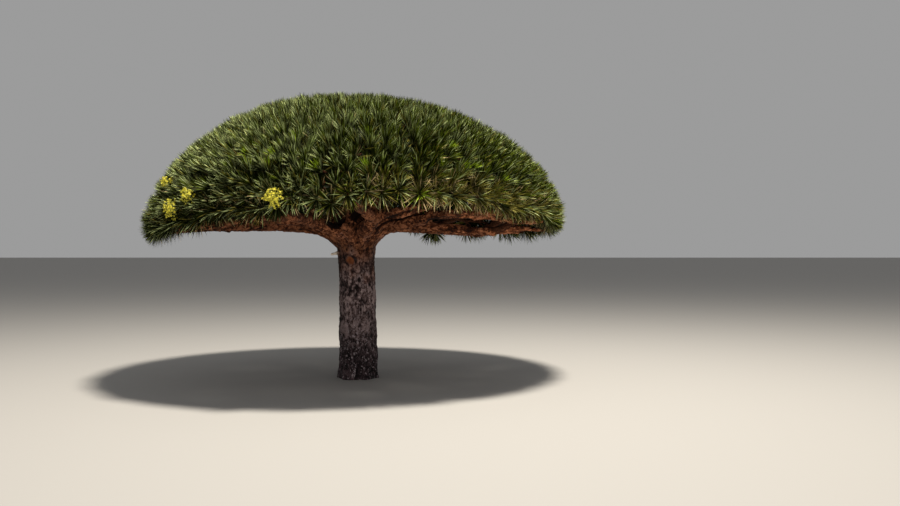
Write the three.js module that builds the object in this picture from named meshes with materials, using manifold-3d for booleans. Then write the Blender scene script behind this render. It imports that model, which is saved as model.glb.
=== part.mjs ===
// A dragon blood tree: a stout trunk, boughs that fork outwards from its head, and an umbrella crown
// of sword-leaved rosettes. Millimetres, +Z up, origin in the middle of the trunk's flat foot, with
// the flowering side towards -Y. The crown is half an ellipsoid. A place in it is told by its
// azimuth, its latitude and its reach, which is 0 at the crown's centre and 1 at the leaf tips.
import * as THREE from "three";
import { mergeVertices } from "three/addons/utils/BufferGeometryUtils.js";
import Module from "manifold-3d";

const wasm = await Module();
wasm.setup();

// Driving dimensions
const SEED = 4128;
const GAP = 0.35; // clear distance where one piece is seated on another
const CROWN_CENTRE = new THREE.Vector3(-30, 0, 2600);
const CROWN_RADIUS = 3590; // out to the leaf tips of the rim
const CROWN_RISE = 2300; // from the rim up to the leaf tips of the top
const CELL_MARGIN = 9; // each mass of foliage stays this far inside its own space

// Trunk: height and radius from the foot, through the waist, to the domed head between the boughs
const TRUNK_SHAPE = [
  [0, 372],
  [70, 356],
  [200, 339],
  [480, 326],
  [1000, 318],
  [1600, 315],
  [2050, 322],
  [2270, 340],
  [2430, 352],
  [2570, 330],
  [2690, 265],
  [2770, 160],
];
const TRUNK_TOP = 2800;
const TRUNK_SIDES = 20;
const TRUNK_LEAN = -35; // sideways travel of the axis from foot to head
const ROOT_LOBES = 6;
const ROOT_LOBE_DEPTH = 0.045;
const ROOT_LOBE_HEIGHT = 420;
const TRUNK_RIDGES = 3;
const TRUNK_RIDGE_DEPTH = 0.018;
const TRUNK_RIDGE_TWIST = 700; // height in which a ridge turns by a radian

// Low boughs: azimuth, latitude where their limbs end, and latitudes of the lowest leaf rosettes
const LOW_BOUGHS = [
  { azimuth: 190, limbLatitude: 1, rims: [1, -2] },
  { azimuth: 240, limbLatitude: 5, rims: [3, 5] },
  { azimuth: 289, limbLatitude: 10, rims: [8, 8] },
  { azimuth: 330, limbLatitude: 7, rims: [6, 4] },
  { azimuth: 10, limbLatitude: -1, rims: [0, 0] },
  { azimuth: 72, limbLatitude: 2, rims: [1, 4] },
  { azimuth: 135, limbLatitude: 4, rims: [7, 5] },
];
// Distance from the trunk's axis and height of a low bough, from inside the head to near its fork
const LOW_BOUGH_RISE = [
  [150, 2330],
  [520, 2560],
  [880, 2640],
];
const LOW_BOUGH_FORK = 1270; // distance from the trunk's axis at which a low bough forks
const FORK_LIFT = 40; // height of the fork above the straight line to the limbs' ends
const LOW_BOUGH_RADII = [185, 158, 130, 118, 139];
const BOUGH_SIDES = 8;
const BOUGH_STEPS = 5;
const LIMB_ROOT = 70; // how far inside its bough a limb starts

// Limbs: radii from root to tip, the reach of the tip, and how far the middle bows outwards
const RIM_LIMB = { radii: [98, 86, 78, 72], reach: 0.66, bow: 60, steps: 3 };
const SHOULDER_LIMB = { radii: [98, 84, 76, 70], reach: 0.56, bow: 50, steps: 4 };
const LIMB_SIDES = 7;

// High boughs, which rise from the top of the head
const HIGH_BOUGH_AZIMUTHS = [35, 125, 215, 305];
const HIGH_BOUGH_RISE = [
  [110, 2560],
  [235, 2880],
  [480, 3230],
];
const HIGH_BOUGH_LATITUDE = 66;
const HIGH_BOUGH_REACH = 0.5;
const HIGH_BOUGH_RADII = [112, 96, 84, 74];
const HIGH_BOUGH_STEPS = 4;

const SHOULDER_LATITUDE = 26; // the rim's masses lie below it, the shoulder's above
const TOP_LATITUDE = 53; // the top's masses lie above it
const RIM_HANG = 16; // degrees by which leaves may hang below the lowest rosettes

// Twigs and rosettes
const ROSETTE_SPACING = 700;
const MOST_AT_A_KNOT = 4;
const WANDER = 0.3; // how far a rosette strays from the middle of its patch, in patch sizes
const FORK_DEPTH = 0.375; // how far below its patch a fork lies, in diagonals of the patch
const DEEPEST_FORK = 0.75; // share of the way back to the last fork that a fork may lie
const TWIG_RADIUS = 22; // of a twig that carries one rosette
const TWIG_GROWTH = 0.42; // power of the number of rosettes by which a twig thickens
const TWIG_TAPER = 0.93;
const TWIG_SIDES = 3;
const STEM_SIDES = 5;
const STEM_STEPS = 2;
const STEM_KNEE = 0.4; // share of its length over which a stem carries on straight from its limb
const STEM_FIT = 0.97; // a stem's foot is this much slimmer than its limb's end
const KNOT_RADIUS = 76;
const KNOT_SWELL = 1.5; // a knot's least radius, in thicknesses of the twig that carries it
const KNOT_INSET = 38; // how far from a knot's middle its twigs start
const LEAF_LENGTH = 450;
const LEAF_SPREAD = 0.14; // share by which leaf lengths differ
const SHORTEST_LEAF = 90;
const LEAF_TRIM = 0.93; // a leaf that would leave its space is shortened by such steps
const AXIS_BEND = 0.25; // share by which a rosette turns from the crown's normal to its own twig
const ROSETTE_CORE = 92;
const ROSETTE_FLATNESS = 0.62;
// Whorls of a rosette: the core's faces down to an angle from its axis, and the lean of their leaves
const LEAN_SPREAD = 8;
const WHORLS = [
  { below: 60, lean: 19, length: 1.0 },
  { below: 90, lean: 49, length: 1.0 },
  { below: 120, lean: 76, length: 0.85 },
];

// Flower panicles: azimuth and latitude of each on the crown
const PANICLES = [
  [212, 17.5],
  [224.5, 5.6],
  [231, 10.6],
  [257, 8.4],
];
const PANICLE_CORE = 62;
const PANICLE_REACH = 150;
const PANICLE_SPREAD = 0.25; // share by which its branches differ
const PANICLE_DEPTH = 70; // how far its middle lies inside the leaf tips
const STALK_RADIUS = 16;
const STALK_SIDES = 3;

const bark = new THREE.MeshStandardMaterial({ color: 0x5d4640, roughness: 0.95, metalness: 0 });
const redBark = new THREE.MeshStandardMaterial({ color: 0x7a4a33, roughness: 0.92, metalness: 0 });
const foliage = new THREE.MeshStandardMaterial({ color: 0x4a6329, roughness: 0.6, metalness: 0 });

const Z = new THREE.Vector3(0, 0, 1);
const degrees = THREE.MathUtils.degToRad;
const mix = THREE.MathUtils.lerp;

// Seeded random numbers from 0 to 1, one series for each piece
function series(seed) {
  let state = seed >>> 0;
  return () => {
    state = (state + 0x6d2b79f5) >>> 0;
    let t = Math.imul(state ^ (state >>> 15), 1 | state);
    t = (t + Math.imul(t ^ (t >>> 7), 61 | t)) ^ t;
    return ((t ^ (t >>> 14)) >>> 0) / 4294967296;
  };
}

// Closed geometry to solid and back
function toSolid(geometry) {
  const bare = geometry.index ? geometry.toNonIndexed() : geometry.clone();
  bare.deleteAttribute("normal");
  bare.deleteAttribute("uv");
  const merged = mergeVertices(bare, 1e-3);
  return new wasm.Manifold(
    new wasm.Mesh({
      numProp: 3,
      vertProperties: merged.attributes.position.array,
      triVerts: new Uint32Array(merged.index.array),
    }),
  );
}

function toGeometry(solid) {
  const mesh = solid.getMesh();
  const position = new THREE.BufferAttribute(new Float32Array(mesh.vertProperties), 3);
  return new THREE.BufferGeometry()
    .setAttribute("position", position)
    .setIndex(new THREE.BufferAttribute(new Uint32Array(mesh.triVerts), 1));
}

// The largest body of a solid, which drops a scrap that a cut leaves behind
function largestBody(solid) {
  return solid.decompose().reduce((a, b) => (a.volume() > b.volume() ? a : b));
}

// A closed limb of round section along a curve, from radii spaced evenly along it. Growth makes it
// larger all round, its flat ends included.
function limbSolid(curve, radii, sides, steps, growth = 0) {
  const radiusAt = (u) => {
    const k = Math.min(Math.floor(u * (radii.length - 1)), radii.length - 2);
    return growth + mix(radii[k], radii[k + 1], u * (radii.length - 1) - k);
  };
  const profile = [new THREE.Vector2(0, 0)];
  for (let i = 0; i <= steps; i++) {
    profile.push(new THREE.Vector2(radiusAt(i / steps), i / steps));
  }
  profile.push(new THREE.Vector2(0, 1));
  const geometry = new THREE.LatheGeometry(profile, sides);
  const frames = curve.computeFrenetFrames(steps);
  const place = geometry.attributes.position;
  const p = new THREE.Vector3();
  for (let i = 0; i < place.count; i++) {
    p.fromBufferAttribute(place, i);
    const ring = Math.round(p.y * steps);
    const at = curve.getPointAt(ring / steps);
    at.addScaledVector(frames.normals[ring], p.x).addScaledVector(frames.binormals[ring], -p.z);
    if (ring === 0) at.addScaledVector(frames.tangents[ring], -growth);
    if (ring === steps) at.addScaledVector(frames.tangents[ring], growth);
    place.setXYZ(i, at.x, at.y, at.z);
  }
  return toSolid(geometry);
}

// Places in the crown
function crownPoint(azimuth, latitude, reach) {
  const a = degrees(azimuth);
  const t = degrees(latitude);
  return new THREE.Vector3(
    reach * CROWN_RADIUS * Math.cos(t) * Math.cos(a),
    reach * CROWN_RADIUS * Math.cos(t) * Math.sin(a),
    reach * CROWN_RISE * Math.sin(t),
  ).add(CROWN_CENTRE);
}

function crownNormal(azimuth, latitude) {
  const a = degrees(azimuth);
  const t = degrees(latitude);
  const out = Math.cos(t) / CROWN_RADIUS;
  return new THREE.Vector3(out * Math.cos(a), out * Math.sin(a), Math.sin(t) / CROWN_RISE).normalize();
}

// Where a rosette sits: a leaf's length inside the crown's outline
function rosettePoint(azimuth, latitude) {
  return crownPoint(azimuth, latitude, 1).addScaledVector(crownNormal(azimuth, latitude), -LEAF_LENGTH);
}

// A cell is the space of one mass, or of one twig of it: a span of azimuth and one of latitude
function cellMiddle(cell) {
  return { azimuth: (cell.from + cell.to) / 2, latitude: (cell.low + cell.high) / 2 };
}

function cellSize(cell) {
  const t = degrees(cellMiddle(cell).latitude);
  const width = CROWN_RADIUS * Math.cos(t) * degrees(cell.to - cell.from);
  const slope = Math.hypot(CROWN_RADIUS * Math.sin(t), CROWN_RISE * Math.cos(t));
  return { width, height: slope * degrees(cell.high - cell.low) };
}

// Angle above the horizontal of the cone through a latitude
function coneSlope(latitude) {
  const t = degrees(latitude);
  return Math.atan2(CROWN_RISE * Math.sin(t), CROWN_RADIUS * Math.cos(t));
}

// How far a point lies inside the walls between a cell and its neighbours, negative outside
function depthInCell(point, cell) {
  const p = point.clone().sub(CROWN_CENTRE);
  const radius = Math.hypot(p.x, p.y);
  const turn = Math.atan2(p.y, p.x) - degrees(cellMiddle(cell).azimuth);
  const away = Math.abs(turn - 2 * Math.PI * Math.round(turn / (2 * Math.PI)));
  const beside = radius * Math.sin(Math.min(degrees(cell.to - cell.from) / 2 - away, Math.PI / 2));
  const slope = Math.atan2(p.z, radius);
  const below = p.length() * (slope - coneSlope(cell.floor));
  const above = cell.high < 90 ? p.length() * (coneSlope(cell.high) - slope) : Infinity;
  return Math.min(beside, below, above);
}

// Splits a cell into patches, each meant for a whole number of rows and columns of rosettes
function splitCell(cell) {
  const { width, height } = cellSize(cell);
  const columns = Math.max(1, Math.round(width / ROSETTE_SPACING));
  const rows = Math.max(1, Math.round(height / ROSETTE_SPACING));
  const edges = (count, parts) => {
    return Array.from({ length: parts + 1 }, (_, i) => Math.round((i * count) / parts) / count);
  };
  const all = columns * rows <= MOST_AT_A_KNOT;
  const wide = width > height;
  const across = edges(columns, all ? columns : wide ? 2 : 1);
  const up = edges(rows, all ? rows : wide ? 1 : 2);
  const patches = [];
  for (let i = 1; i < across.length; i++) {
    for (let j = 1; j < up.length; j++) {
      patches.push({
        ...cell,
        from: mix(cell.from, cell.to, across[i - 1]),
        to: mix(cell.from, cell.to, across[i]),
        low: mix(cell.low, cell.high, up[j - 1]),
        high: mix(cell.low, cell.high, up[j]),
      });
    }
  }
  return patches.length > 1 ? patches : [];
}

// Leaves

// Raises the faces of a geometry to points, where tipOf gives a tip. The faces round its lowest
// corner get none, and footOf draws them out to the foot of a twig instead.
function raiseFaces(geometry, tipOf, footOf) {
  const corner = geometry.attributes.position;
  const made = [];
  for (let i = 0; i < corner.count; i += 3) {
    const face = [0, 1, 2].map((k) => new THREE.Vector3().fromBufferAttribute(corner, i + k));
    const middle = face[0].clone().add(face[1]).add(face[2]).divideScalar(3);
    const tip = tipOf(middle);
    if (tip) {
      face.forEach((a, k) => made.push(a, face[(k + 1) % 3], tip));
    } else {
      const pole = face.findIndex((v) => v.z === Math.min(...face.map((w) => w.z)));
      const [a, b, c] = [face[(pole + 1) % 3], face[(pole + 2) % 3], face[pole]];
      const [d, e, f] = [footOf(a), footOf(b), footOf(c)];
      made.push(a, b, e, a, e, d, d, e, f);
    }
  }
  return new THREE.BufferGeometry().setFromPoints(made);
}

// An icosahedron with one corner on its +Z axis
function upright(radius) {
  const ball = new THREE.IcosahedronGeometry(radius, 0);
  const corner = new THREE.Vector3().fromBufferAttribute(ball.attributes.position, 0).normalize();
  return ball.applyQuaternion(new THREE.Quaternion().setFromUnitVectors(corner, Z));
}

// One rosette with its twig: three whorls of leaves stand out of the twig's swollen end, and the
// twig runs down from there to its foot. A leaf stops short of the wall of its mass.
function rosetteSolid(foot, place, normal, mass, random) {
  const along = place.clone().sub(foot).normalize();
  const axis = normal.clone().lerp(along, AXIS_BEND).normalize();
  const turn = new THREE.Quaternion()
    .setFromUnitVectors(Z, axis)
    .multiply(new THREE.Quaternion().setFromAxisAngle(Z, random() * 2 * Math.PI));
  const core = upright(ROSETTE_CORE);
  core.scale(1, 1, ROSETTE_FLATNESS);
  const leafTip = (face) => {
    const polar = Math.atan2(Math.hypot(face.x, face.y), face.z / ROSETTE_FLATNESS);
    const whorl = WHORLS.find((w) => polar < degrees(w.below));
    if (!whorl) return null;
    const lean = degrees(whorl.lean + LEAN_SPREAD * (random() - 0.5));
    const way = new THREE.Vector3(face.x, face.y, 0).setLength(Math.sin(lean)).setZ(Math.cos(lean));
    let length = LEAF_LENGTH * whorl.length * (1 + LEAF_SPREAD * (random() - 1));
    const inside = (l) => {
      const tip = way.clone().multiplyScalar(l).applyQuaternion(turn).add(place);
      return depthInCell(tip, mass) > CELL_MARGIN;
    };
    while (length > SHORTEST_LEAF && !inside(length)) length *= LEAF_TRIM;
    return inside(length) ? way.multiplyScalar(length) : face.clone();
  };
  const end = foot.clone().sub(place).applyQuaternion(turn.clone().invert());
  const twigFoot = (v) => {
    const outwards = new THREE.Vector3(v.x, v.y, 0).clampLength(0, TWIG_RADIUS);
    return outwards.add(end);
  };
  const geometry = raiseFaces(core, leafTip, twigFoot).applyQuaternion(turn);
  return toSolid(geometry.translate(place.x, place.y, place.z));
}

// A panicle: a ball of short flowering branches
function panicleSolid(place, random) {
  const tip = (face) => face.clone().setLength(PANICLE_REACH * (1 - PANICLE_SPREAD * random()));
  const geometry = raiseFaces(upright(PANICLE_CORE), tip);
  return toSolid(geometry.translate(place.x, place.y, place.z));
}

function twigThickness(tips) {
  return TWIG_RADIUS * Math.pow(tips, TWIG_GROWTH);
}

function twigSolid(from, to, radii) {
  return limbSolid(new THREE.LineCurve3(from, to), radii, TWIG_SIDES, 1);
}

// A swollen knot where twigs part, which keeps their feet from crossing
function knotSolid(place, radius) {
  return toSolid(new THREE.OctahedronGeometry(radius, 0).translate(place.x, place.y, place.z));
}

// Where twigs part on the way to a cell's rosettes
function forkBelow(cell, from) {
  const { azimuth, latitude } = cellMiddle(cell);
  const { width, height } = cellSize(cell);
  const goal = rosettePoint(azimuth, latitude);
  const depth = FORK_DEPTH * Math.hypot(width, height);
  return goal.lerp(from, Math.min(DEEPEST_FORK, depth / goal.distanceTo(from)));
}

// Grows the twigs of a cell's patches from a knot. Gives how many rosettes they carry.
function growTwigs(knot, cell, mass, grown, random) {
  let tips = 0;
  for (const patch of splitCell(cell)) {
    const middle = cellMiddle(patch);
    const azimuth = middle.azimuth + WANDER * (random() - 0.5) * (patch.to - patch.from);
    const latitude = middle.latitude + WANDER * (random() - 0.5) * (patch.high - patch.low);
    const forked = splitCell(patch).length > 0;
    const goal = forked ? forkBelow(patch, knot) : rosettePoint(azimuth, latitude);
    const foot = knot.clone().add(goal.clone().sub(knot).setLength(KNOT_INSET));
    if (forked) {
      const carried = growTwigs(goal, patch, mass, grown, random);
      const thick = twigThickness(carried);
      grown.solids.push(twigSolid(foot, goal, [thick, thick * TWIG_TAPER]));
      tips += carried;
    } else {
      grown.solids.push(rosetteSolid(foot, goal, crownNormal(azimuth, latitude), mass, random));
      grown.rosettes.push(goal);
      tips += 1;
    }
  }
  grown.solids.push(knotSolid(knot, Math.max(KNOT_RADIUS, KNOT_SWELL * twigThickness(tips))));
  return tips;
}

// The panicles that stand in a mass, each on a stalk from the nearest rosette
function addPanicles(mass, grown, random) {
  for (const [azimuth, latitude] of PANICLES) {
    const place = crownPoint(azimuth, latitude, 1);
    place.addScaledVector(crownNormal(azimuth, latitude), -PANICLE_DEPTH);
    if (depthInCell(place, mass) < PANICLE_REACH) continue;
    const nearest = grown.rosettes.reduce((a, b) => (a.distanceTo(place) < b.distanceTo(place) ? a : b));
    const stalk = new THREE.LineCurve3(nearest, place);
    grown.solids.push(limbSolid(stalk, [STALK_RADIUS, STALK_RADIUS], STALK_SIDES, 1));
    grown.solids.push(panicleSolid(place, random));
  }
}

// One mass of foliage, on a stem that starts just clear of its limb's end
function massMesh(name, limb, mass, seed) {
  const random = series(seed);
  const start = limb.end.clone().addScaledVector(limb.way, GAP);
  const grown = { solids: [], rosettes: [] };
  const fork = forkBelow(mass, start);
  const tips = growTwigs(fork, mass, mass, grown, random);
  const knee = start.clone().addScaledVector(limb.way, start.distanceTo(fork) * STEM_KNEE);
  const stem = new THREE.QuadraticBezierCurve3(start, knee, fork);
  const stemRadii = [limb.radii.at(-1) * STEM_FIT, twigThickness(tips)];
  grown.solids.push(limbSolid(stem, stemRadii, STEM_SIDES, STEM_STEPS));
  addPanicles(mass, grown, random);
  const mesh = new THREE.Mesh(toGeometry(largestBody(wasm.Manifold.union(grown.solids))), foliage);
  mesh.name = name;
  return mesh;
}

// Wood

function trunkSolid(growth = 0) {
  const profile = TRUNK_SHAPE.map(([z, r]) => new THREE.Vector2(r + growth, z));
  const outline = [new THREE.Vector2(0, 0), ...profile, new THREE.Vector2(0, TRUNK_TOP + growth)];
  const geometry = new THREE.LatheGeometry(outline, TRUNK_SIDES).rotateX(Math.PI / 2);
  const place = geometry.attributes.position;
  for (let i = 0; i < place.count; i++) {
    const [x, y, z] = [place.getX(i), place.getY(i), place.getZ(i)];
    const angle = Math.atan2(y, x);
    const lobe = ROOT_LOBE_DEPTH * Math.exp(-z / ROOT_LOBE_HEIGHT) * Math.cos(ROOT_LOBES * angle);
    const ridge = TRUNK_RIDGE_DEPTH * Math.cos(TRUNK_RIDGES * angle + z / TRUNK_RIDGE_TWIST);
    const swell = 1 + lobe + ridge;
    place.setXYZ(i, x * swell + (TRUNK_LEAN * z) / TRUNK_TOP, y * swell, z);
  }
  return toSolid(geometry);
}

// The wood made so far, each piece grown by the gap, so that a later piece is cut clear of it
const grownWood = [];

function addWood(tree, name, build, material) {
  const solid = grownWood.reduce((rest, other) => rest.subtract(other), build(0));
  grownWood.push(build(GAP));
  const mesh = new THREE.Mesh(toGeometry(largestBody(solid)), material);
  mesh.name = name;
  tree.add(mesh);
}

function addLimb(tree, name, points, radii, sides, steps) {
  const curve = new THREE.CatmullRomCurve3(points, false, "centripetal");
  addWood(tree, name, (growth) => limbSolid(curve, radii, sides, steps, growth), redBark);
  return { end: curve.getPointAt(1), way: curve.getTangentAt(1), radii };
}

// A point of a bough, from azimuth, distance from the trunk's axis and height
function boughPoint(azimuth, distance, height) {
  const a = degrees(azimuth);
  return new THREE.Vector3(
    CROWN_CENTRE.x + distance * Math.cos(a),
    CROWN_CENTRE.y + distance * Math.sin(a),
    height,
  );
}

// A limb from a bough's end to a place in the crown, bowed outwards or upwards on the way
function addForkLimb(tree, name, bough, end, bowWay, form) {
  const root = bough.end.clone().addScaledVector(bough.way, -LIMB_ROOT);
  const bend = root.clone().lerp(end, 0.5).addScaledVector(bowWay, form.bow);
  return addLimb(tree, name, [root, bend, end], form.radii, LIMB_SIDES, form.steps);
}

// A low bough with its two rim limbs and its shoulder limb. Gives the masses that they carry.
function addLowBough(tree, index) {
  const { azimuth, limbLatitude, rims } = LOW_BOUGHS[index];
  const number = index + 1;
  const before = LOW_BOUGHS.at(index - 1).azimuth;
  const after = LOW_BOUGHS[number % LOW_BOUGHS.length].azimuth;
  const from = azimuth - ((azimuth - before + 360) % 360) / 2;
  const to = azimuth + ((after - azimuth + 360) % 360) / 2;
  const forkHeight = crownPoint(azimuth, limbLatitude, LOW_BOUGH_FORK / CROWN_RADIUS).z + FORK_LIFT;
  const points = LOW_BOUGH_RISE.map(([distance, height]) => boughPoint(azimuth, distance, height));
  points.push(boughPoint(azimuth, LOW_BOUGH_FORK, forkHeight));
  const bough = addLimb(tree, `bough_${number}`, points, LOW_BOUGH_RADII, BOUGH_SIDES, BOUGH_STEPS);
  const masses = [];

  for (const [side, start, stop, low] of [
    ["left", from, azimuth, rims[0]],
    ["right", azimuth, to, rims[1]],
  ]) {
    const heading = (start + stop) / 2;
    const end = crownPoint(heading, limbLatitude, RIM_LIMB.reach);
    const name = `rim_limb_${number}_${side}`;
    const limb = addForkLimb(tree, name, bough, end, crownNormal(heading, 0), RIM_LIMB);
    const cell = { from: start, to: stop, low, high: SHOULDER_LATITUDE, floor: low - RIM_HANG };
    masses.push({ name: `rim_mass_${number}_${side}`, limb, cell });
  }

  const middle = (SHOULDER_LATITUDE + TOP_LATITUDE) / 2;
  const end = crownPoint(azimuth, middle, SHOULDER_LIMB.reach);
  const limb = addForkLimb(tree, `shoulder_limb_${number}`, bough, end, Z, SHOULDER_LIMB);
  const cell = { from, to, low: SHOULDER_LATITUDE, high: TOP_LATITUDE, floor: SHOULDER_LATITUDE };
  masses.push({ name: `shoulder_mass_${number}`, limb, cell });
  return masses;
}

// A high bough. Gives the mass that it carries.
function addHighBough(tree, index) {
  const azimuth = HIGH_BOUGH_AZIMUTHS[index];
  const points = HIGH_BOUGH_RISE.map(([distance, height]) => boughPoint(azimuth, distance, height));
  points.push(crownPoint(azimuth, HIGH_BOUGH_LATITUDE, HIGH_BOUGH_REACH));
  const name = `high_bough_${index + 1}`;
  const limb = addLimb(tree, name, points, HIGH_BOUGH_RADII, LIMB_SIDES, HIGH_BOUGH_STEPS);
  const half = 180 / HIGH_BOUGH_AZIMUTHS.length;
  const span = { from: azimuth - half, to: azimuth + half };
  const cell = { ...span, low: TOP_LATITUDE, high: 90, floor: TOP_LATITUDE };
  return { name: `top_mass_${index + 1}`, limb, cell };
}

const tree = new THREE.Group();
tree.name = "dragon_blood_tree";
addWood(tree, "trunk", trunkSolid, bark);
const lowMasses = LOW_BOUGHS.flatMap((_, index) => addLowBough(tree, index));
const topMasses = HIGH_BOUGH_AZIMUTHS.map((_, index) => addHighBough(tree, index));
[...lowMasses, ...topMasses].forEach(({ name, limb, cell }, index) => {
  tree.add(massMesh(name, limb, cell, SEED + index));
});

export default tree;
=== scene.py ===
import random
from collections import namedtuple
from math import cos, exp, hypot, pi, radians, sin, sqrt

import bmesh
import bpy
import numpy as np
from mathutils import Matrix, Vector, noise


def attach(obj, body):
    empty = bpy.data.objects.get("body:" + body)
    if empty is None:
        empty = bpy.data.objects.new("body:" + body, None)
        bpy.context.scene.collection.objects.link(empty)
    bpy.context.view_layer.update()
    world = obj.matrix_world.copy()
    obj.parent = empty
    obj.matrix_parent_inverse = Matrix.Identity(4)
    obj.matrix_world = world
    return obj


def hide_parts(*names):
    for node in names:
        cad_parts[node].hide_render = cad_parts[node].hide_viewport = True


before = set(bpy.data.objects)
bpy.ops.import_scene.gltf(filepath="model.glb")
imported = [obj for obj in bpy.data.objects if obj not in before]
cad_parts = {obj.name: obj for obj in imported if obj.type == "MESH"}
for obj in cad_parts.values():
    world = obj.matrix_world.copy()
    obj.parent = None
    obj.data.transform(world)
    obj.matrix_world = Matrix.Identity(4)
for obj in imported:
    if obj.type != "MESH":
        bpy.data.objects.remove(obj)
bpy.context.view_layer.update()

SEED = 4128
SHOULDER_SEED = SEED + 20
TOP_SEED = SEED + 40
UP = Vector((0, 0, 1))

# The crown, as in the part's source
CROWN_CENTRE = Vector((-0.03, 0, 2.6))
CROWN_RADIUS = 3.59
CROWN_RISE = 2.315
SHOULDER_LATITUDE = 26
TOP_LATITUDE = 53
# How far the outline leans from an even dome on its left and right sides: latitude, then metres along X
CROWN_LEAN = [(0, 0, 0.07), (20, 0.11, 0.055), (43, 0.12, 0), (65, 0, -0.05)]

# Trunk: height and radius
TRUNK_SHAPE = [
    (-0.2, 0.37), (0, 0.352), (0.07, 0.343), (0.2, 0.333), (0.48, 0.326), (1.0, 0.318), (1.6, 0.315),
    (2.05, 0.322), (2.27, 0.34), (2.43, 0.352), (2.57, 0.33), (2.69, 0.265), (2.77, 0.16),
]
TRUNK_TOP = 2.8
TRUNK_LEAN = -0.035
ROOT_LOBES = 6
ROOT_LOBE_DEPTH = 0.045
ROOT_LOBE_HEIGHT = 0.42
TRUNK_RIDGES = 3
TRUNK_RIDGE_DEPTH = 0.018
TRUNK_RIDGE_TWIST = 0.7

# Low boughs: azimuth, latitude where their limbs end, and latitudes below their lowest rosettes
LOW_BOUGHS = [
    (190, 1, (1, -2)),
    (240, 5, (3, 5)),
    (289, 10, (8, 8)),
    (330, 8.4, (6, 4)),
    (10, -1.7, (0, 0)),
    (72, 2, (1, 4)),
    (135, 4, (7, 5)),
]
LOW_BOUGH_RISE = [(0.15, 2.33), (0.52, 2.56), (0.88, 2.64)]
# How far the boughs of some azimuths arch above that line, and the share of it at each of its places
ARCHES = {190: 0.025, 330: 0.12, 10: 0.12}
ARCH_SHARES = (0.35, 1, 0.25)
LOW_BOUGH_FORK = 1.27
FORK_LIFT = 0.04
LOW_BOUGH_RADII = (0.185, 0.158, 0.13, 0.115, 0.108)
# Webs of wood between boughs: azimuth, then distance and height along each, and its radii
WEBS = [
    (168, [(0.12, 2.4), (0.42, 2.68), (0.55, 2.98)], (0.17, 0.17, 0.12)),
    (205, [(0.1, 2.35), (0.26, 2.65), (0.34, 2.95)], (0.18, 0.15, 0.1)),
    (262, [(0.12, 2.26), (0.42, 2.5), (0.82, 2.63)], (0.17, 0.13, 0.05)),
    (272, [(0.1, 2.3), (0.34, 2.62), (0.5, 3.0)], (0.2, 0.17, 0.12)),
    (309, [(0.12, 2.3), (0.55, 2.64), (1.1, 2.74)], (0.19, 0.14, 0.06)),
    (350, [(0.12, 2.36), (0.6, 2.66), (1.05, 2.68)], (0.16, 0.13, 0.05)),
]
# A broken stub on the trunk: its foot, its end and its radii
STUB = (Vector((-0.27, -0.12, 2.19)), Vector((-0.475, -0.16, 2.155)), (0.056, 0.022))
# How far a limb, and a mass's stem, reaches back into what carries it
LIMB_ROOT = 0.07
STEM_ROOT = 0.1
RIM_LIMB = {"radii": (0.098, 0.086, 0.078, 0.072), "reach": 0.66, "bow": 0.06}
# A runner carries a rim limb on along the crown's flat underside
RUNNER = {"radii": (0.07, 0.058, 0.045, 0.022), "reach": 0.92, "below_edge": 1.5, "lowest": -1, "bow": 1}
SHOULDER_LIMB = {"radii": (0.098, 0.084, 0.076, 0.07), "reach": 0.56, "bow": 0.05}
HIGH_BOUGH_AZIMUTHS = (35, 125, 215, 305)
HIGH_BOUGH_RISE = [(0.11, 2.56), (0.235, 2.88), (0.48, 3.23)]
HIGH_BOUGH_LATITUDE = 66
HIGH_BOUGH_REACH = 0.5
HIGH_BOUGH_RADII = (0.112, 0.096, 0.084, 0.074)

# Twigs and rosettes: the source's rule, carried to a finer spacing
ROSETTE_SPACING = 0.226
MOST_AT_A_KNOT = 4
WANDER = 0.47
FORK_DEPTH = 0.375
DEEPEST_FORK = 0.75
TWIG_RADIUS = 0.017
TWIG_GROWTH = 0.42
TWIG_KNEE = 0.3
TWIG_TAPER = (1.06, 0.12)
TWIG_SWELLING = 0.16
STEEP = 0.8
# Twigs by how many rosettes they carry: sides, steps along them, and the least and most that they carry
TWIG_KINDS = [(5, 2, 1, 1), (6, 3, 2, 12), (8, 5, 13, 999)]
LEAF_LENGTH = 0.32
ROSETTE_DEPTH = 0.76
ROSETTE_UNEVENNESS = 0.04
ROSETTE_SINK = 0.6
AXIS_BEND = 0.25
AXIS_WANDER = 0.12
# How far the axes of rosettes at the lower edge droop, and how far above it the droop ends
DROOP = 0.34
DROOP_HEIGHT = 15
EDGE_LIFT = 0.3
# The crown's lower edge: azimuth and latitude below the lowest rosettes
RIM_LINE = [
    (12, -0.5), (22, -2), (36, -1.5), (42, 2), (47, 1), (53, -2), (58, 1), (63, 3), (66, -1.5), (70, -4),
    (74, 0.5), (77, 6), (100, 8), (125, 8), (136, 6.5), (150, 5.5), (165, 3), (180, -1.5), (192, -4),
    (205, -5), (214, -5), (225, -3), (231, -1.5), (234, -0.3), (238, 0.5), (243, 2), (252, 2.5), (257, 5.5),
    (260, 9), (263, 8), (266, 4.7), (270, 4.4), (277, 9.4), (290, 9.8), (300, 9.7), (313, 8), (317, 5.5),
    (322, 6.5), (326, 4), (331, 5.5), (338, 4), (347, 1.5), (357, 0.5),
]
# Growth holds the twigs and rosettes of one region of the crown, and the nodes that they stand for
Growth = namedtuple("Growth", "twigs rosettes nodes")
Twig = namedtuple("Twig", "knot knee goal carried")
Rosette = namedtuple("Rosette", "place axis above azimuth")

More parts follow.
